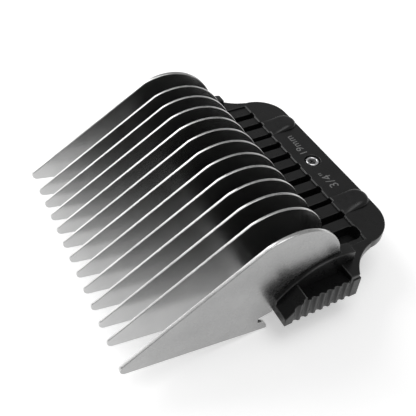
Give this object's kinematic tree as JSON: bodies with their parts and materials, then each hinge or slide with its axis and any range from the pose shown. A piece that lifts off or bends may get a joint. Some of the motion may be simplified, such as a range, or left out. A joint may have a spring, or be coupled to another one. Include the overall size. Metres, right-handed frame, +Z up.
{
  "type": "clipper guard comb",
  "caption": "Clip-on clipper guide comb: flat stainless tines in a moulded body with ribbed side grips, a rear plate and a sprung latch slide underneath.",
  "frame": {"origin": "middle of the bounding box's bottom face, with the comb standing on its tine hooks and its latch catch", "axes": "+X to the comb's right seen from behind with the skin side up, +Y rearward from the tine tips to the rear plate, +Z up towards the skin side, away from the clipper blade"},
  "size_m": [0.0596, 0.0603, 0.0243],
  "materials": {
    "body_plastic": "fine-grained satin black moulding",
    "tine_steel": "stainless, brushed faces with polished edges",
    "slide_plastic": "smooth satin black moulding",
    "spring_steel": "drawn spring wire",
    "screw_chrome": "bright plated",
    "fitting_steel": "turned steel"
  },
  "bodies": {
    "comb": {"comb_body": "body_plastic", "tine_01": "tine_steel", "tine_02": "tine_steel", "tine_03": "tine_steel", "tine_04": "tine_steel", "tine_05": "tine_steel", "tine_06": "tine_steel", "tine_07": "tine_steel", "tine_08": "tine_steel", "tine_09": "tine_steel", "tine_10": "tine_steel", "tine_11": "tine_steel", "tine_12": "tine_steel", "tine_13": "tine_steel", "spring_left": "spring_steel", "spring_right": "spring_steel", "slide_screw": "screw_chrome", "guide_sleeve": "fitting_steel", "keeper_nut": "fitting_steel"},
    "latch": {"latch_slide": "slide_plastic"}
  },
  "joints": [
    {"name": "latch_travel", "type": "slide", "parent": "comb", "child": "latch", "axis": [0, 1, 0], "range_m": [0, 0.0025], "stiffness_N_per_m": 1200, "springref_m": -0.002, "deforming": ["spring_left", "spring_right"]}
  ]
}
